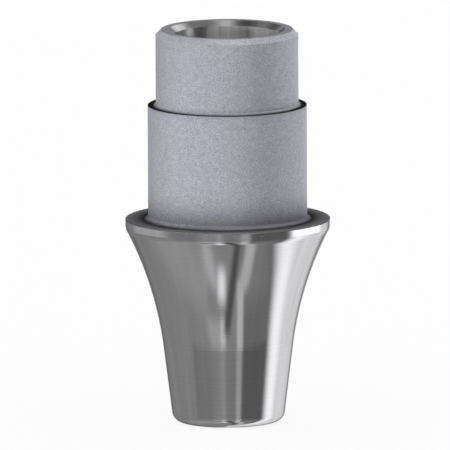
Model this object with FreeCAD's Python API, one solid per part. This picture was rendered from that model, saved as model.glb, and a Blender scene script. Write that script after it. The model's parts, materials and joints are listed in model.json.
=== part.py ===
import FreeCAD, Part
import math
import os

# A bonding base for a single crown or bridge unit on an implant, turned from one titanium bar.
# From the bottom up: a tapered seat that wedges into the implant, a polished trumpet-shaped
# collar that widens to a flat shoulder with a thin rim, and a blasted two-step post that the
# crown is bonded to. A channel for the fixing screw runs down the axis to a conical screw seat,
# and a smaller hole goes on from the seat to the open tip.
# Lengths are millimetres and angles are degrees. +Z runs up the turning axis, and the origin is
# the centre of the flat tip.

# Tapered seat
CONE_HEIGHT = 1.95  # from the flat tip up to the collar
CONE_TOP_DIAMETER = 3.20
CONE_HALF_ANGLE = 7.2  # between the wall and the axis
TIP_ROUND = 0.26  # radius on the outer edge of the tip

# Collar
COLLAR_HEIGHT = 3.08  # from the top of the taper up to the shoulder
SHOULDER_DIAMETER = 5.02
RIM_HEIGHT = 0.155  # straight wall under the shoulder's edge, with its edge round
RIM_EDGE_ROUND = 0.016
RIM_BLEND_RADIUS = 0.33  # turns the straight wall into the flare
FLARE_LIP_ANGLE = 27.2  # between the axis and the flare, where it leaves the blend

# Bonding post
POST_HEIGHT = 4.68  # from the shoulder up to the flat crest
LOWER_POST_DIAMETER = 3.90
POST_FOOT_FILLET = 0.10
UPPER_POST_DIAMETER = 3.50
UPPER_POST_HEIGHT = 1.87  # from the ledge up to the flat crest
LEDGE_FILLET = 0.075
CREST_CHAMFER = 0.13  # at 45 degrees, on the outer edge of the crest

# Screw channel
CHANNEL_DIAMETER = 2.55
MOUTH_WIDTH = 0.16  # radial width of the countersink in the crest
MOUTH_DEPTH = 0.12
SCREW_SEAT_HEIGHT = 2.60  # from the flat tip up to the foot of the conical seat
SCREW_SEAT_HALF_ANGLE = 45.0  # between the seat and the axis
SCREW_HOLE_DIAMETER = 1.90
HOLE_EDGE_CHAMFER = 0.05  # at 45 degrees, where the hole leaves the tip

SHOULDER_Z = CONE_HEIGHT + COLLAR_HEIGHT
CREST_Z = SHOULDER_Z + POST_HEIGHT
LEDGE_Z = CREST_Z - UPPER_POST_HEIGHT


class Section:
    """One half of an axial section, drawn edge by edge through (radius, height) points."""

    def __init__(self, radius, height):
        self.points = [(radius, height)]
        self.edges = []

    def line(self, radius, height):
        """Draw a straight edge to a point."""
        here = self.points[-1]
        self.points.append((radius, height))
        self.edges.append(Part.LineSegment(in_space(here), in_space((radius, height))).toShape())

    def arc(self, radius, first, last):
        """Draw an arc between two directions as seen from its centre, 0 outwards and 90 upwards."""
        here = self.points[-1]
        centre = along(here, -radius, first)
        middle = along(centre, radius, (first + last) / 2)
        end = along(centre, radius, last)
        self.points.append(end)
        self.edges.append(Part.Arc(in_space(here), in_space(middle), in_space(end)).toShape())

    def revolve(self):
        """Close the section and turn it about the axis into a solid."""
        self.line(*self.points[0])
        face = Part.Face(Part.Wire(self.edges))
        return face.revolve(FreeCAD.Vector(0, 0, 0), FreeCAD.Vector(0, 0, 1), 360)


def in_space(point):
    """Place a (radius, height) point of a section in space."""
    return FreeCAD.Vector(point[0], 0, point[1])


def along(point, distance, direction):
    """Move a (radius, height) point some way in a direction, 0 outwards and 90 upwards."""
    turn = math.radians(direction)
    return (point[0] + distance * math.cos(turn), point[1] + distance * math.sin(turn))


def draw_tapered_seat(section):
    """Draw the rounded tip and the straight taper, up to the foot of the collar."""
    slope = math.tan(math.radians(CONE_HALF_ANGLE))
    tip_radius = CONE_TOP_DIAMETER / 2 - CONE_HEIGHT * slope
    # The round touches the flat tip below its centre and the taper CONE_HALF_ANGLE below level.
    touch = math.radians(CONE_HALF_ANGLE)
    touch_height = TIP_ROUND * (1 - math.sin(touch))
    flat_radius = tip_radius + touch_height * slope - TIP_ROUND * math.cos(touch)
    section.line(flat_radius, 0)
    section.arc(TIP_ROUND, -90, -CONE_HALF_ANGLE)
    section.line(CONE_TOP_DIAMETER / 2, CONE_HEIGHT)


def draw_collar(section):
    """Draw the hollow flare, its rim and the flat shoulder, in to the foot of the post."""
    rim_radius = SHOULDER_DIAMETER / 2
    blend_top = (rim_radius, SHOULDER_Z - RIM_HEIGHT)
    lip = along(along(blend_top, -RIM_BLEND_RADIUS, 0), RIM_BLEND_RADIUS, -FLARE_LIP_ANGLE)
    # The flare is the one arc that starts on the taper's top edge and meets the blend smoothly.
    foot = section.points[-1]
    chord = math.dist(foot, lip)
    chord_angle = math.degrees(math.atan2(lip[0] - foot[0], lip[1] - foot[1]))
    half_turn = FLARE_LIP_ANGLE - chord_angle
    flare_radius = chord / (2 * math.sin(math.radians(half_turn)))
    section.arc(flare_radius, 180 - (chord_angle - half_turn), 180 - FLARE_LIP_ANGLE)
    section.arc(RIM_BLEND_RADIUS, -FLARE_LIP_ANGLE, 0)
    section.line(rim_radius, SHOULDER_Z - RIM_EDGE_ROUND)
    section.arc(RIM_EDGE_ROUND, 0, 90)


def draw_post(section):
    """Draw the shoulder and the two-step post, up to the axis at the crest."""
    lower_radius = LOWER_POST_DIAMETER / 2
    upper_radius = UPPER_POST_DIAMETER / 2
    section.line(lower_radius + POST_FOOT_FILLET, SHOULDER_Z)
    section.arc(POST_FOOT_FILLET, 270, 180)
    section.line(lower_radius, LEDGE_Z)
    section.line(upper_radius + LEDGE_FILLET, LEDGE_Z)
    section.arc(LEDGE_FILLET, 270, 180)
    section.line(upper_radius, CREST_Z - CREST_CHAMFER)
    section.line(upper_radius - CREST_CHAMFER, CREST_Z)
    section.line(0, CREST_Z)


def turned_blank():
    """The outside of the base as a solid body of revolution."""
    section = Section(0, 0)
    draw_tapered_seat(section)
    draw_collar(section)
    draw_post(section)
    return section.revolve()


def screw_passage():
    """The space that the screw passes through, from the tip to the countersunk mouth."""
    hole_radius = SCREW_HOLE_DIAMETER / 2
    channel_radius = CHANNEL_DIAMETER / 2
    seat_rise = (channel_radius - hole_radius) / math.tan(math.radians(SCREW_SEAT_HALF_ANGLE))
    section = Section(0, 0)
    section.line(hole_radius + HOLE_EDGE_CHAMFER, 0)
    section.line(hole_radius, HOLE_EDGE_CHAMFER)
    section.line(hole_radius, SCREW_SEAT_HEIGHT)
    section.line(channel_radius, SCREW_SEAT_HEIGHT + seat_rise)
    section.line(channel_radius, CREST_Z - MOUTH_DEPTH)
    section.line(channel_radius + MOUTH_WIDTH, CREST_Z)
    section.line(0, CREST_Z)
    return section.revolve()


def abutment():
    """The whole base: the turned blank, bored right through."""
    return turned_blank().cut(screw_passage())


os.makedirs("parts", exist_ok=True)
abutment().exportStep("parts/abutment.step")
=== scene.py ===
"""The finished look of a titanium bonding base for an implant crown.

The base is one turned piece, so its surface is one half section spun about the axis. Each smooth
run of the section has its own finish: polished collar and taper, blasted post, bored screw
channel. Sections are drawn in millimetres, and finished meshes and the studio are in metres.
"""

import json
import logging
import math
from dataclasses import asdict, dataclass, fields
from enum import Enum
from typing import Any

import bmesh
import bpy
from mathutils import Matrix, Vector


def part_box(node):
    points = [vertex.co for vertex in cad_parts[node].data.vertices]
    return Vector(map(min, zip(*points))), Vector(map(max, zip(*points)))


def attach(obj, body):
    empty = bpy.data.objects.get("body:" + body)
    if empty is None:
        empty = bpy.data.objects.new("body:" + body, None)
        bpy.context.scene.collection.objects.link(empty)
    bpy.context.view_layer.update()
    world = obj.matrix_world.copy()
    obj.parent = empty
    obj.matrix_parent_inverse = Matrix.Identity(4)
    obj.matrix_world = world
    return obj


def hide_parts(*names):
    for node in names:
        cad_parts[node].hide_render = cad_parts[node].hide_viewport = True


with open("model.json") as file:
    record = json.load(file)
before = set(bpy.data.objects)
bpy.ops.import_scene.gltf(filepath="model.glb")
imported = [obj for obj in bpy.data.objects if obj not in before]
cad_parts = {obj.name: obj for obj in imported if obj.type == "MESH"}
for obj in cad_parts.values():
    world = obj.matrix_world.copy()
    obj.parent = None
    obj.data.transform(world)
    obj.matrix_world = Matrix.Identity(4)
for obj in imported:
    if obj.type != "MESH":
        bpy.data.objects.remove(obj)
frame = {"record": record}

Socket = bpy.types.NodeSocket
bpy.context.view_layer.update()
MM = 0.001
# Fillets at the foot of each step of the post, in millimetres.
STEP_FILLETS = {"lower_post": 0.10, "upper_post": 0.075}
WELD_DISTANCE = 1e-4  # millimetres between points of two runs that are the same point
LOG = logging.getLogger("bonding_base")


def mount(name: str) -> dict:
    """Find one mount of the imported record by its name."""
    return next(m for m in frame["record"]["mounts"] if m["name"] == name)


def mount_radius(name: str) -> float:
    """Give the radius of a round mount, in millimetres."""
    return mount(name)["dims"]["r_mm"]


def mount_span(name: str) -> tuple[float, float]:
    """Find where a round mount's wall starts and ends.

    Args:
        name: the mount's name.

    Returns:
        Its lowest and highest point, in millimetres.
    """
    middle = mount(name)["pos_m"][2] / MM
    half = mount(name)["dims"]["length_mm"] / 2
    return middle - half, middle + half


class Graph:
    """Adds nodes to one node tree and joins them."""

    def __init__(self, tree: bpy.types.NodeTree) -> None:
        """Take the tree to add to."""
        self.tree = tree

    def add(self, kind: str, inputs: dict | None = None, **settings: Any) -> bpy.types.Node:
        """Add one node.

        Args:
            kind: the node's type name.
            inputs: values or sockets for its inputs, by name or number.
            settings: the node's own properties.

        Returns:
            The new node.
        """
        node = self.tree.nodes.new(kind)
        for name, value in settings.items():
            setattr(node, name, value)
        for name, value in (inputs or {}).items():
            self.plug(node, name, value)
        return node

    def plug(self, node: bpy.types.Node, name: str | int, value: Any) -> None:
        """Join a socket to one of a node's inputs, or set the input to a value.

        Args:
            node: the node.
            name: the input's name or number.
            value: a socket, number, vector or colour.
        """
        if isinstance(value, Socket):
            self.tree.links.new(value, node.inputs[name])
        else:
            node.inputs[name].default_value = value

    def math(self, operation: str, *values: Socket | float) -> Socket:
        """Add a Math node and give its result."""
        return self.add("ShaderNodeMath", dict(enumerate(values)), operation=operation).outputs[0]

    def scale(self, vector: Socket | tuple, factor: Socket | float) -> Socket:
        """Multiply a vector or colour by a value."""
        inputs = {0: vector, "Scale": factor}
        return self.add("ShaderNodeVectorMath", inputs, operation="SCALE").outputs[0]

    def noise(self, vector: Socket, scale: Socket | float, detail: float = 2.0) -> Socket:
        """Add a Noise Texture node and give its value."""
        inputs = {"Vector": vector, "Scale": scale, "Detail": detail}
        return self.add("ShaderNodeTexNoise", inputs).outputs[0]

    def hypotenuse(self, first: Socket, second: Socket) -> Socket:
        """Give the length of the third side of a triangle with a right angle."""
        squares = self.math("MULTIPLY_ADD", first, first, self.math("MULTIPLY", second, second))
        return self.math("SQRT", squares)

    def centred(self, value: Socket, size: float) -> Socket:
        """Turn a value from 0 to 1 into one about zero, of a size from end to end."""
        return self.math("MULTIPLY_ADD", value, size, -size / 2)

    def ramp(self, value: Socket, low: Socket | float, high: Socket | float) -> Socket:
        """Rise smoothly from 0 at one value to 1 at another, or fall if they are swapped."""
        inputs = {"Value": value, "From Min": low, "From Max": high}
        return self.add("ShaderNodeMapRange", inputs, interpolation_type="SMOOTHSTEP").outputs[0]

    def give(self, output: bpy.types.Node, **values: Socket) -> None:
        """Join sockets to the inputs of an output or shader node, by name."""
        for name, value in values.items():
            self.tree.links.new(value, output.inputs[name.replace("_", " ")])


def new_group(
    name: str, takes: dict[str, str], gives: dict[str, str]
) -> tuple[Graph, bpy.types.Node, bpy.types.Node]:
    """Make an empty shader node group.

    Args:
        name: the group's name.
        takes: the kind of each input, by name.
        gives: the kind of each output, by name.

    Returns:
        The group's graph, its input node and its output node.
    """
    tree = bpy.data.node_groups.new(name, "ShaderNodeTree")
    for way, sockets in (("INPUT", takes), ("OUTPUT", gives)):
        for socket, kind in sockets.items():
            tree.interface.new_socket(socket, in_out=way, socket_type="NodeSocket" + kind)
    graph = Graph(tree)
    return graph, graph.add("NodeGroupInput"), graph.add("NodeGroupOutput")


def blast_grain_group() -> bpy.types.NodeTree:
    """Make the pitted grain that blasting leaves on metal.

    Returns:
        A group that takes a Position and the Size of a pit in millimetres, and gives a Tone that
        varies about zero and a Height from 0 to 1.
    """
    patch_scale = 0.2  # a soft patch is five times as wide as a pit
    pit_contrast = 1.0
    patch_contrast = 0.25
    takes = {"Position": "Vector", "Size": "Float"}
    graph, given, out = new_group("blast_grain", takes, {"Tone": "Float", "Height": "Float"})
    position = given.outputs["Position"]
    scale = graph.math("DIVIDE", 1.0, given.outputs["Size"])
    pits = graph.noise(position, scale)
    patches = graph.noise(position, graph.math("MULTIPLY", scale, patch_scale))
    patch_tone = graph.centred(patches, patch_contrast)
    tone = graph.math("ADD", graph.centred(pits, pit_contrast), patch_tone)
    graph.give(out, Tone=tone, Height=pits)
    return graph.tree


def turning_rings_group() -> bpy.types.NodeTree:
    """Make the fine rings of a turning tool, and the soft streaks of polishing across them.

    Returns:
        A group that takes a Position and the Size of a ring in millimetres, and gives a Tone
        that varies about zero and a Height from 0 to 1.
    """
    streaks_per_radian = 9.0
    streak_drift = 0.03  # how fast the streaks change with the height
    streak_contrast = 2.4
    ring_contrast = 1.2
    takes = {"Position": "Vector", "Size": "Float"}
    graph, given, out = new_group("turning_rings", takes, {"Tone": "Float", "Height": "Float"})
    x, y, z = graph.add("ShaderNodeSeparateXYZ", {0: given.outputs["Position"]}).outputs
    flat = graph.add("ShaderNodeCombineXYZ", {0: x, 1: y}).outputs[0]
    radius = graph.add("ShaderNodeVectorMath", {0: flat}, operation="LENGTH").outputs["Value"]
    path = graph.math("DIVIDE", graph.math("ADD", radius, z), given.outputs["Size"])
    along = {"W": path, "Scale": 1.0}
    rings = graph.add("ShaderNodeTexNoise", along, noise_dimensions="1D").outputs[0]
    # Streaks run up and down, so they vary with the direction from the axis and hardly with z.
    outward = graph.add("ShaderNodeVectorMath", {0: flat}, operation="NORMALIZE").outputs[0]
    drift = graph.math("MULTIPLY", z, streak_drift)
    rise = graph.add("ShaderNodeCombineXYZ", {2: drift}).outputs[0]
    around = graph.add("ShaderNodeVectorMath", {0: outward, 1: rise}, operation="ADD").outputs[0]
    streaks = graph.noise(around, streaks_per_radian, detail=1.0)
    streak_tone = graph.centred(streaks, streak_contrast)
    ring_tone = graph.centred(rings, ring_contrast)
    graph.give(out, Tone=graph.math("ADD", ring_tone, streak_tone), Height=rings)
    return graph.tree


def corner_shade_group() -> bpy.types.NodeTree:
    """Make the painted shade that darkens the colour in the corner round the foot of a step of the
    post.

    Returns:
        A group that takes a Position, the Radius and Height of the corner, how far its shade
        reaches and how deep it is, and gives the share of brightness that is left.
    """
    takes = {"Position": "Vector", **dict.fromkeys(("Radius", "Height", "Reach", "Depth"), "Float")}
    graph, given, out = new_group("corner_shade", takes, {"Left": "Float"})
    side = given.outputs
    x, y, z = graph.add("ShaderNodeSeparateXYZ", {0: side["Position"]}).outputs
    radius = graph.hypotenuse(x, y)
    across = graph.math("SUBTRACT", radius, side["Radius"])
    up = graph.math("SUBTRACT", z, side["Height"])
    away = graph.math("DIVIDE", graph.hypotenuse(across, up), side["Reach"])
    # Painted shade: the colour grows darker towards the corner.
    near = graph.math("SUBTRACT", 1.0, graph.math("MINIMUM", away, 1.0))
    lost = graph.math("MULTIPLY", graph.math("MULTIPLY", near, near), side["Depth"])
    graph.give(out, Left=graph.math("SUBTRACT", 1.0, lost))
    return graph.tree


@dataclass(frozen=True)
class PaintedCornerShade:
    """Painted shade: the colour darkened in the corner at the foot of one step of the post."""

    step: str  # the step's mount
    reach: float  # millimetres from the outer edge of the step's fillet
    depth: float  # the share of brightness that is lost at that edge

    def left(self, graph: Graph, place: Socket) -> Socket:
        """Add the painted shade to a material.

        Args:
            graph: the material's graph.
            place: the position on the part, in millimetres.

        Returns:
            The share of brightness that the shade leaves.
        """
        fillet = STEP_FILLETS[self.step]
        corner = {
            "Position": place, "Reach": self.reach, "Depth": self.depth,
            "Radius": mount_radius(self.step) + fillet, "Height": mount_span(self.step)[0] - fillet,
        }
        shade = graph.add("ShaderNodeGroup", node_tree=bpy.data.node_groups["corner_shade"])
        for name, value in corner.items():
            graph.plug(shade, name, value)
        return shade.outputs["Left"]


@dataclass(frozen=True)
class Relief:
    """The fine marks that one way of working leaves on the metal."""

    group: str  # the name of the node group that makes them
    size: float  # millimetres from one mark to the next
    tone_share: float  # how far the brightness follows them
    depth: float  # millimetres


BLAST_GRAIN = Relief("blast_grain", 0.03, 1.1, 0.004)
POLISHING_RINGS = Relief("turning_rings", 0.05, 0.1, 0.0004)
BORING_RINGS = Relief("turning_rings", 0.05, 0.3, 0.0004)
FACING_RINGS = Relief("turning_rings", 0.012, 0.1, 0.0004)
BLASTED_GREY = (0.43, 0.43, 0.478)
QUARTER_TURN = 0.25  # turns a spread that runs round the part into one that runs up and down


@dataclass(frozen=True)
class MetalFinish:
    """A surface finish of the titanium: its colour, gloss and fine relief."""

    name: str
    colour: tuple[float, float, float]
    roughness: float  # from 0 for a mirror to 1 for a dull surface
    relief: Relief
    edge_tint: float = 1.0  # how much of the gloss is left at a grazing view
    spread: float = 0.0  # how much further its gloss spreads up and down than around, from 0 to 1
    # painted shade: darkening of the colour in the corners at the feet of the steps
    shades: tuple[PaintedCornerShade, ...] = ()

    def material(self) -> bpy.types.Material:
        """Make the finish's material.

        Returns:
            A metal whose colour and bump follow the relief, with the painted corner shades in its
            colour.
        """
        material = bpy.data.materials.new(self.name)
        material.use_nodes = True
        material.node_tree.nodes.clear()
        graph = Graph(material.node_tree)
        place = graph.scale(graph.add("ShaderNodeTexCoord").outputs["Object"], 1 / MM)
        marks = {"Position": place, "Size": self.relief.size}
        tree = bpy.data.node_groups[self.relief.group]
        relief = graph.add("ShaderNodeGroup", node_tree=tree)
        for name, value in marks.items():
            graph.plug(relief, name, value)
        factor = graph.math("MULTIPLY_ADD", relief.outputs["Tone"], self.relief.tone_share, 1.0)
        # Painted shade: the colour is darkened in the corners at the feet of the steps.
        for shade in self.shades:
            factor = graph.math("MULTIPLY", factor, shade.left(graph, place))
        height = {"Distance": self.relief.depth * MM, "Height": relief.outputs["Height"]}
        bump = graph.add("ShaderNodeBump", height)
        look = {
            "Metallic": 1.0, "Roughness": self.roughness,
            "Specular Tint": (self.edge_tint, self.edge_tint, self.edge_tint, 1),
            "Anisotropic": self.spread, "Anisotropic Rotation": QUARTER_TURN,
        }
        shader = graph.add("ShaderNodeBsdfPrincipled", look)
        graph.give(shader, Base_Color=graph.scale(self.colour, factor), Normal=bump.outputs[0])
        graph.add("ShaderNodeOutputMaterial", {"Surface": shader.outputs[0]})
        return material


class Finish(Enum):
    """The finishes of the base. Their order is the order of its material slots."""

    POLISHED = MetalFinish(
        "polished_titanium", (0.56, 0.56, 0.57), 0.10, POLISHING_RINGS, edge_tint=0.8
    )
    # The blasted post, with painted shade in the corners at the foot of each step.
    BLASTED = MetalFinish(
        "blasted_titanium", BLASTED_GREY, 0.65, BLAST_GRAIN,
        shades=(PaintedCornerShade("lower_post", 0.95, 0.82), PaintedCornerShade("upper_post", 0.18, 0.9)),
    )
    # The fillet at the post's foot, with painted shade in its corner.
    FOOT = MetalFinish(
        "blasted_foot", BLASTED_GREY, 0.65, BLAST_GRAIN, edge_tint=0.3,
        shades=(PaintedCornerShade("lower_post", 0.95, 0.68),),
    )
    CREST = MetalFinish("blasted_crest", BLASTED_GREY, 0.65, BLAST_GRAIN, edge_tint=0.5)
    # The rim's round edge: its colour is darkened as a painted shade, so it shows no highlight.
    RIM_EDGE = MetalFinish(
        "blasted_rim_edge", (0.15, 0.15, 0.16), 0.55, BLAST_GRAIN, edge_tint=0.3
    )
    # The shoulder, with painted shade round the foot of the post.
    SHOULDER = MetalFinish(
        "blasted_shoulder", (0.41, 0.41, 0.43), 0.55, BLAST_GRAIN, edge_tint=0.3,
        shades=(PaintedCornerShade("lower_post", 0.60, 0.95),),
    )
    # The faced ledge: its colour is darkened nearly to black as a painted shade.
    LEDGE = MetalFinish("faced_ledge", (0.06, 0.06, 0.065), 0.45, FACING_RINGS, edge_tint=0.1)
    COUNTERSUNK = MetalFinish(
        "countersunk_titanium", (0.36, 0.36, 0.36), 0.30, POLISHING_RINGS, spread=0.7
    )
    BORED = MetalFinish("bored_titanium", (0.46, 0.46, 0.46), 0.36, BORING_RINGS, spread=1.0)

    @property
    def slot(self) -> int:
        """The number of this finish's material slot."""
        return list(Finish).index(self)


class SectionRun:
    """One smooth run of a half section, drawn from point to point in the plane y = 0."""

    def __init__(self, radius: float, height: float) -> None:
        """Start the run at a point."""
        self.mesh = bmesh.new()
        self.end = bmesh.ops.create_vert(self.mesh, co=(radius, 0, height))["vert"][0]

    def line(self, radius: float, height: float, steps: int = 1) -> None:
        """Draw a straight line to a point.

        Args:
            radius: the point's distance from the axis.
            height: its height.
            steps: the number of equal edges.
        """
        start = self.end.co.copy()
        for step in range(steps):
            self.end = bmesh.ops.extrude_vert_indiv(self.mesh, verts=[self.end])["verts"][0]
            self.end.co = start.lerp(Vector((radius, 0, height)), (step + 1) / steps)

    def arc(self, radius: float, first: float, last: float, steps: int) -> None:
        """Draw an arc between two directions from its centre.

        Args:
            radius: the arc's radius.
            first: the direction of its start in degrees, 0 outwards and 90 upwards.
            last: the direction of its end.
            steps: the number of edges.
        """
        start = math.radians(first)
        centre = self.end.co - radius * Vector((math.cos(start), 0, math.sin(start)))
        turn = math.radians(last - first)
        made = bmesh.ops.spin(
            self.mesh, geom=[self.end], cent=centre, axis=(0, -1, 0), angle=turn, steps=steps
        )
        self.end = next(part for part in made["geom_last"] if isinstance(part, bmesh.types.BMVert))

    def spin_onto(self, whole: bmesh.types.BMesh, steps: int, slot: int) -> None:
        """Spin the run about the axis and add it to the whole surface.

        Args:
            whole: the surface so far.
            steps: the number of faces round the axis.
            slot: the number of the run's material slot.
        """
        section = [*self.mesh.verts, *self.mesh.edges]
        bmesh.ops.spin(
            self.mesh, geom=section, cent=(0, 0, 0), axis=(0, 0, 1),
            angle=math.tau, steps=steps, use_merge=True,
        )
        for face in self.mesh.faces:
            face.material_index = slot
            face.smooth = True
        turned = bpy.data.meshes.new("turned_run")
        self.mesh.to_mesh(turned)
        self.mesh.free()
        whole.from_mesh(turned)
        bpy.data.meshes.remove(turned)


@dataclass
class BondingBase:
    """The whole base as one surface of revolution. Lengths are millimetres, angles degrees."""

    cone_height: float = 1.95
    cone_top_radius: float = 1.60
    cone_half_angle: float = 7.2
    tip_round: float = 0.26
    rim_height: float = 0.155
    rim_edge_round: float = 0.016
    rim_support: float = 0.004  # from the edge round down to the ring that holds the wall straight
    rim_blend_radius: float = 0.33
    flare_lip_angle: float = 27.2
    crest_chamfer: float = 0.13
    mouth_width: float = 0.16
    mouth_depth: float = 0.12
    hole_edge_chamfer: float = 0.05
    around: int = 256  # faces about the axis
    # The edges of each run of the section, fine enough for the finest reflections.
    tip_steps: int = 24
    flare_steps: int = 72
    blend_steps: int = 12
    rim_steps: int = 3
    rim_edge_steps: int = 6
    shoulder_steps: int = 8
    foot_steps: int = 10
    ledge_fillet_steps: int = 8
    long_wall_steps: int = 24
    upper_wall_steps: int = 16
    hole_steps: int = 12
    narrow_ring_steps: int = 2
    corner_angle: float = 18.0  # two faces that turn by more than this meet at a sharp edge

    def __post_init__(self) -> None:
        """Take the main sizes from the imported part."""
        low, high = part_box("abutment")
        self.rim_radius = high.x / MM
        self.crest_z = high.z / MM
        self.shoulder_z = mount("crown_shoulder")["pos_m"][2] / MM
        self.lower_radius = mount_radius("lower_post")
        self.upper_radius = mount_radius("upper_post")
        self.ledge_z = mount_span("lower_post")[1]
        self.channel_radius = mount_radius("screw_channel")
        self.channel_foot_z = mount_span("screw_channel")[0]
        self.hole_radius = mount_radius("screw_hole")
        self.seat_z = mount_span("screw_hole")[1]

    def draw_taper(self, run: SectionRun) -> None:
        """Draw the flat tip, its round edge and the taper.

        Args:
            run: the run, which starts at the hole's edge in the tip.
        """
        slope = math.tan(math.radians(self.cone_half_angle))
        tip_radius = self.cone_top_radius - self.cone_height * slope
        half_corner = math.radians(90 - self.cone_half_angle) / 2
        run.line(tip_radius - self.tip_round * math.tan(half_corner), 0)
        run.arc(self.tip_round, -90, -self.cone_half_angle, self.tip_steps)
        run.line(self.cone_top_radius, self.cone_height, self.long_wall_steps)

    def draw_collar(self, run: SectionRun) -> None:
        """Draw the flare, the blend under the rim and the rim.

        Args:
            run: the run, which starts at the top of the taper.
        """
        lip = math.radians(self.flare_lip_angle)
        blend_z = self.shoulder_z - self.rim_height
        lip_radius = self.rim_radius - self.rim_blend_radius * (1 - math.cos(lip))
        lip_z = blend_z - self.rim_blend_radius * math.sin(lip)
        rise = lip_z - self.cone_height
        spread = lip_radius - self.cone_top_radius
        chord_angle = math.degrees(math.atan2(spread, rise))
        half_turn = self.flare_lip_angle - chord_angle
        flare_radius = math.hypot(spread, rise) / (2 * math.sin(math.radians(half_turn)))
        foot_direction = 180 - chord_angle + half_turn
        run.arc(flare_radius, foot_direction, 180 - self.flare_lip_angle, self.flare_steps)
        run.arc(self.rim_blend_radius, -self.flare_lip_angle, 0, self.blend_steps)
        rim_top = self.shoulder_z - self.rim_edge_round
        run.line(self.rim_radius, rim_top - self.rim_support, self.rim_steps)
        run.line(self.rim_radius, rim_top)

    def draw_rim_edge(self, run: SectionRun) -> None:
        """Draw the rim's round edge."""
        run.arc(self.rim_edge_round, 0, 90, self.rim_edge_steps)

    def draw_shoulder(self, run: SectionRun) -> None:
        """Draw the flat shoulder that the crown sits on."""
        foot_radius = self.lower_radius + STEP_FILLETS["lower_post"]
        run.line(foot_radius, self.shoulder_z, self.shoulder_steps)

    def draw_foot(self, run: SectionRun) -> None:
        """Draw the fillet at the foot of the post."""
        run.arc(STEP_FILLETS["lower_post"], 270, 180, self.foot_steps)

    def draw_lower_post(self, run: SectionRun) -> None:
        """Draw the wall of the lower step."""
        run.line(self.lower_radius, self.ledge_z, self.long_wall_steps)

    def draw_ledge(self, run: SectionRun) -> None:
        """Draw the faced ledge between the steps of the post."""
        inner_radius = self.upper_radius + STEP_FILLETS["upper_post"]
        run.line(inner_radius, self.ledge_z, self.narrow_ring_steps)

    def draw_upper_post(self, run: SectionRun) -> None:
        """Draw the small fillet and the upper wall."""
        run.arc(STEP_FILLETS["upper_post"], 270, 180, self.ledge_fillet_steps)
        run.line(self.upper_radius, self.crest_z - self.crest_chamfer, self.upper_wall_steps)

    def draw_chamfer(self, run: SectionRun) -> None:
        """Draw the outer edge of the crest."""
        run.line(self.upper_radius - self.crest_chamfer, self.crest_z)

    def draw_crest(self, run: SectionRun) -> None:
        """Draw the flat ring of the crest."""
        mouth_radius = self.channel_radius + self.mouth_width
        run.line(mouth_radius, self.crest_z, self.narrow_ring_steps)

    def draw_mouth(self, run: SectionRun) -> None:
        """Draw the countersink."""
        mouth_foot_z = self.crest_z - self.mouth_depth
        run.line(self.channel_radius, mouth_foot_z, self.narrow_ring_steps)

    def draw_channel(self, run: SectionRun) -> None:
        """Draw the wall that the screw's head passes."""
        run.line(self.channel_radius, self.channel_foot_z, self.long_wall_steps)

    def draw_seat(self, run: SectionRun) -> None:
        """Draw the cone that the screw's head seats on."""
        run.line(self.hole_radius, self.seat_z, self.narrow_ring_steps)

    def draw_hole(self, run: SectionRun) -> None:
        """Draw the hole for the screw's shank."""
        run.line(self.hole_radius, self.hole_edge_chamfer, self.hole_steps)

    def draw_hole_edge(self, run: SectionRun) -> None:
        """Draw the small chamfer where the hole leaves the tip."""
        run.line(self.hole_radius + self.hole_edge_chamfer, 0)

    def mark_corners(self, mesh: bmesh.types.BMesh) -> None:
        """Keep the real corners sharp, and shade the rounds smooth."""
        for edge in mesh.edges:
            edge.smooth = edge.calc_face_angle() < math.radians(self.corner_angle)

    def build(self) -> bpy.types.Object:
        """Make the base as one closed mesh.

        Returns:
            The finished object, riding on the part's body in place of its plain solid.
        """
        mesh = bmesh.new()
        runs = [
            (Finish.POLISHED, self.draw_taper),
            (Finish.POLISHED, self.draw_collar),
            (Finish.RIM_EDGE, self.draw_rim_edge),
            (Finish.SHOULDER, self.draw_shoulder),
            (Finish.FOOT, self.draw_foot),
            (Finish.BLASTED, self.draw_lower_post),
            (Finish.LEDGE, self.draw_ledge),
            (Finish.BLASTED, self.draw_upper_post),
            (Finish.BLASTED, self.draw_chamfer),
            (Finish.CREST, self.draw_crest),
            (Finish.COUNTERSUNK, self.draw_mouth),
            (Finish.BORED, self.draw_channel),
            (Finish.BORED, self.draw_seat),
            (Finish.BORED, self.draw_hole),
            (Finish.BORED, self.draw_hole_edge),
        ]
        # The section starts at the outer edge of the hole's small chamfer, in the flat tip.
        corner = (self.hole_radius + self.hole_edge_chamfer, 0)
        for finish, draw in runs:
            run = SectionRun(*corner)
            draw(run)
            corner = (run.end.co.x, run.end.co.z)
            run.spin_onto(mesh, self.around, finish.slot)
        bmesh.ops.remove_doubles(mesh, verts=mesh.verts[:], dist=WELD_DISTANCE)
        bmesh.ops.recalc_face_normals(mesh, faces=mesh.faces[:])
        self.mark_corners(mesh)
        bmesh.ops.scale(mesh, vec=(MM,) * 3, verts=mesh.verts[:])
        open_edges = sum(not edge.is_manifold for edge in mesh.edges)
        LOG.info("abutment_base: %d faces, %d open edges", len(mesh.faces), open_edges)
        data = bpy.data.meshes.new("abutment_base")
        mesh.to_mesh(data)
        mesh.free()
        for finish in Finish:
            data.materials.append(finish.value.material())
        base = bpy.data.objects.new("abutment_base", data)
        bpy.context.scene.collection.objects.link(base)
        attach(base, "root")
        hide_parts("abutment")
        return base


@dataclass(frozen=True)
class Card:
    """A board, flag or soft box of the studio, seen in reflections and by its light.

    Directions are degrees. Azimuth 0 is towards the camera, 90 is to its right, and elevation 0
    is level. A leaning card moves sideways with the height.
    """

    level: float  # how bright it is, 1 for the white background
    azimuth: float  # of its middle, where it crosses the level of the eye if it leans
    half_width: float
    low: float = -90.0  # the elevation of its bottom
    high: float = 90.0  # the elevation of its top
    edge: float = 6.0  # how soft its sides are
    fade: float = 6.0  # how soft its top and bottom are
    lean: float = 0.0  # degrees sideways for each degree down


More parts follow.
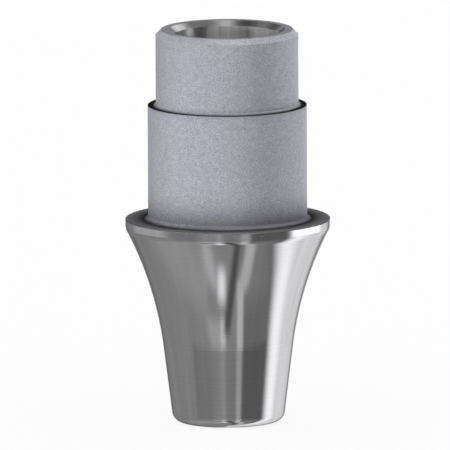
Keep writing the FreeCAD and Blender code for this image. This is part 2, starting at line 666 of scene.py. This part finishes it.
@dataclass
class Studio:
    """The floor, the background, the lights and the camera."""

    photo_width: int = 450
    pixel: float = 0.0245 * MM  # the size of one photo pixel at the part
    camera_distance: float = 60 * MM
    nearest: float = 1 * MM  # the nearest and farthest that the camera sees
    farthest: float = 1000 * MM
    elevation: float = 8.97  # degrees above level
    roll: float = -0.265  # degrees
    middle_height: float = 4.8535 * MM  # the height on the axis at the middle of the photo
    middle_offset: float = 2.745  # pixels from the middle of the photo to the axis
    floor_reach: float = 0.4  # metres from the axis to the floor's nearest edge
    floor_grey: float = 0.92
    floor_glow: float = 0.85  # the share of the floor that the camera sees as plain white
    background: float = 1.0  # the light where no card hangs, straight behind
    cards: tuple[Card, ...] = (
        # Grey walls all round, but for the white background straight behind.
        Card(0.35, -4, 172, edge=4),
        # Walls on the left, lighter above and again low down.
        Card(0.56, -104, 27, low=-14.5, edge=16, fade=3),
        Card(0.45, -80, 44, low=-58, high=-38, fade=14),
        Card(0.24, -160, 8, low=-60, high=-4, edge=10),
        # The front walls: dark above the table's edge, and darker to the right.
        Card(0.27, -20, 48, low=-24, edge=4, fade=1.2),
        Card(0.15, 50, 25, edge=8),
        Card(0.225, 50, 24, high=-24.5, fade=1.5),
        Card(0.30, 46, 20, high=-40, edge=14, fade=14),
        # Soft strips in front, seen in the taper.
        Card(0.33, -23, 10, low=-24, edge=15),
        Card(0.44, -10, 4, low=-24, edge=7),
        Card(0.50, 20, 5, low=-24),
        # The same strips below the table's edge, seen in the flare.
        Card(0.54, 4, 12, low=-35, high=-25, edge=16, fade=4, lean=-0.9),
        Card(0.61, 28, 9, low=-62, high=-46, edge=16, fade=7, lean=-1.1),
        Card(0.88, -9.4, 4.6, low=-36, high=-26, fade=4),
        Card(1.28, -11, 6, low=-54, high=-42, fade=8, edge=10),
        Card(0.11, -22, 6, high=-31, edge=8, lean=0.62),
        Card(0.76, 21.3, 5.3, low=-49, high=-24.5, fade=3),
        Card(0.68, -20.3, 9, high=-45, edge=10, lean=1.0),
        # The large soft box on the right.
        Card(1.08, 114, 38, high=-4, edge=16, fade=3, lean=0.1),
        Card(1.53, 91, 10, high=-4, edge=18, fade=3, lean=0.12),
        Card(1.75, 104, 25, low=-14.5, high=-4, edge=8, fade=3),
        # A dark room above, with lighter walls on the left and behind on the left.
        Card(0.10, 0, 181, low=4, high=91, fade=4),
        Card(0.9, -70, 50, low=5, high=30, edge=10, fade=3),
        Card(2.2, -130, 26, low=5, high=19, edge=8, fade=3),
        # High soft boxes: on the left, two in front, behind on the right, on the right, overhead,
        # and a weak one high up behind on the right.
        Card(4.2, -93, 22, low=30, high=48, edge=6, fade=4),
        Card(1.7, 14, 38, low=28, high=54, edge=12, fade=4),
        Card(3.8, 14, 46, low=52, high=78, edge=10, fade=4),
        Card(1.8, 151, 14, low=18, high=42, edge=14, fade=10),
        Card(10.5, 102, 12, low=24, high=38, edge=7, fade=5),
        Card(1.6, 0, 181, low=82, high=91, fade=3),
        Card(0.9, 131, 10, low=54, high=68, edge=7, fade=5),
        # Low strip lights all along the left and front, and behind on the right.
        Card(8.1, -31, 70, low=-1, high=5, edge=14, fade=1),
        Card(11.0, 155, 9, low=-1, high=5, edge=4, fade=1),
    )

    def card_group(self) -> bpy.types.NodeTree:
        """Make the group that hangs one card in front of the light so far.

        Returns:
            A group that takes the Light so far, the Azimuth and Elevation of a direction and the
            card's own values, and gives the Light with the card in it.
        """
        names = ["Light", "Azimuth", "Elevation", *(item.name for item in fields(Card))]
        takes = dict.fromkeys(names, "Float")
        graph, given, out = new_group("studio_card", takes, {"Light": "Float"})
        side = given.outputs
        lean = graph.math("MULTIPLY", side["Elevation"], side["lean"])
        turned = graph.math("ADD", graph.math("SUBTRACT", side["Azimuth"], side["azimuth"]), lean)
        turn = graph.math("ABSOLUTE", graph.math("WRAP", turned, 180.0, -180.0))
        masks = [
            self.soft_step(graph, side["half_width"], turn, side["edge"]),
            self.soft_step(graph, side["Elevation"], side["low"], side["fade"]),
            self.soft_step(graph, side["high"], side["Elevation"], side["fade"]),
        ]
        mask = graph.math("MULTIPLY", masks[0], graph.math("MULTIPLY", masks[1], masks[2]))
        change = graph.math("SUBTRACT", side["level"], side["Light"])
        graph.give(out, Light=graph.math("MULTIPLY_ADD", change, mask, side["Light"]))
        return graph.tree

    def soft_step(self, graph: Graph, upper: Socket, lower: Socket, width: Socket) -> Socket:
        """Rise from 0 to 1 across an edge where two values are the same.

        Args:
            graph: the group's graph.
            upper: the value that is the larger one where the step is 1.
            lower: the other value.
            width: how wide the step is.

        Returns:
            The step.
        """
        inside = graph.math("SUBTRACT", upper, lower)
        start = graph.math("MULTIPLY", width, -0.5)
        return graph.ramp(inside, start, graph.math("MULTIPLY", width, 0.5))

    def light_world(self) -> None:
        """Hang the studio round the base: white for the camera, and the cards for all gloss."""
        group = self.card_group()
        world = bpy.data.worlds.new("studio")
        bpy.context.scene.world = world
        world.use_nodes = True
        world.node_tree.nodes.clear()
        graph = Graph(world.node_tree)
        direction = graph.add("ShaderNodeTexCoord").outputs["Generated"]
        x, y, z = graph.add("ShaderNodeSeparateXYZ", {0: direction}).outputs
        azimuth = graph.math("DEGREES", graph.math("ARCTAN2", x, graph.math("MULTIPLY", y, -1.0)))
        elevation = graph.math("DEGREES", graph.math("ARCSINE", z))
        light = self.background
        for card in self.cards:
            inputs = {"Light": light, "Azimuth": azimuth, "Elevation": elevation, **asdict(card)}
            node = graph.add("ShaderNodeGroup", node_tree=group)
            for name, value in inputs.items():
                graph.plug(node, name, value)
            light = node.outputs["Light"]
        path = graph.add("ShaderNodeLightPath").outputs
        shiny = graph.math("MAXIMUM", path["Is Glossy Ray"], path["Is Transmission Ray"])
        hung = graph.add("ShaderNodeBackground", {"Color": light})
        white = graph.add("ShaderNodeBackground", {"Color": (1, 1, 1, 1)})
        mix = graph.add("ShaderNodeMixShader", {0: shiny, 1: white.outputs[0], 2: hung.outputs[0]})
        graph.add("ShaderNodeOutputWorld", {"Surface": mix.outputs[0]})

    def lay_floor(self) -> None:
        """Lay a pale floor that turns to white for the camera but keeps the shadow."""
        mesh = bmesh.new()
        bmesh.ops.create_grid(mesh, x_segments=1, y_segments=1, size=self.floor_reach)
        data = bpy.data.meshes.new("floor")
        mesh.to_mesh(data)
        mesh.free()
        material = bpy.data.materials.new("pale_floor")
        material.use_nodes = True
        material.node_tree.nodes.clear()
        graph = Graph(material.node_tree)
        grey = (self.floor_grey, self.floor_grey, self.floor_grey, 1)
        paper = graph.add("ShaderNodeBsdfDiffuse", {"Color": grey})
        white = graph.add("ShaderNodeEmission", {"Strength": 1.0})
        camera_ray = graph.add("ShaderNodeLightPath").outputs["Is Camera Ray"]
        share = graph.math("MULTIPLY", camera_ray, self.floor_glow)
        mix = graph.add("ShaderNodeMixShader", {0: share, 1: paper.outputs[0], 2: white.outputs[0]})
        graph.add("ShaderNodeOutputMaterial", {"Surface": mix.outputs[0]})
        data.materials.append(material)
        floor = bpy.data.objects.new("floor", data)
        floor.visible_glossy = False
        bpy.context.scene.collection.objects.link(floor)

    def place_camera(self) -> None:
        """Look from the photo's angle, with parallel rays, because it shows no perspective."""
        data = bpy.data.cameras.new("camera")
        data.type = "ORTHO"
        data.ortho_scale = self.photo_width * self.pixel
        data.clip_start = self.nearest
        data.clip_end = self.farthest
        camera = bpy.data.objects.new("camera", data)
        bpy.context.scene.collection.objects.link(camera)
        tilt = math.radians(self.elevation)
        target = Vector((-self.middle_offset * self.pixel, 0, self.middle_height))
        place = target + self.camera_distance * Vector((0, -math.cos(tilt), math.sin(tilt)))
        lift = Matrix.Rotation(math.pi / 2 - tilt, 4, "X")
        roll = Matrix.Rotation(math.radians(self.roll), 4, "Z")
        camera.matrix_world = Matrix.Translation(place) @ (lift @ roll)
        bpy.context.scene.camera = camera

    def build(self) -> None:
        """Set up the whole studio."""
        self.light_world()
        self.lay_floor()
        self.place_camera()
        bpy.context.scene.view_settings.view_transform = "Standard"


def main() -> None:
    """Build the base and its studio; building the base logs its number of faces and open edges."""
    logging.basicConfig(level=logging.INFO)
    blast_grain_group()
    turning_rings_group()
    corner_shade_group()
    base = BondingBase().build()
    LOG.info("%s done", base.name)
    Studio().build()


if __name__ == "__main__":
    main()
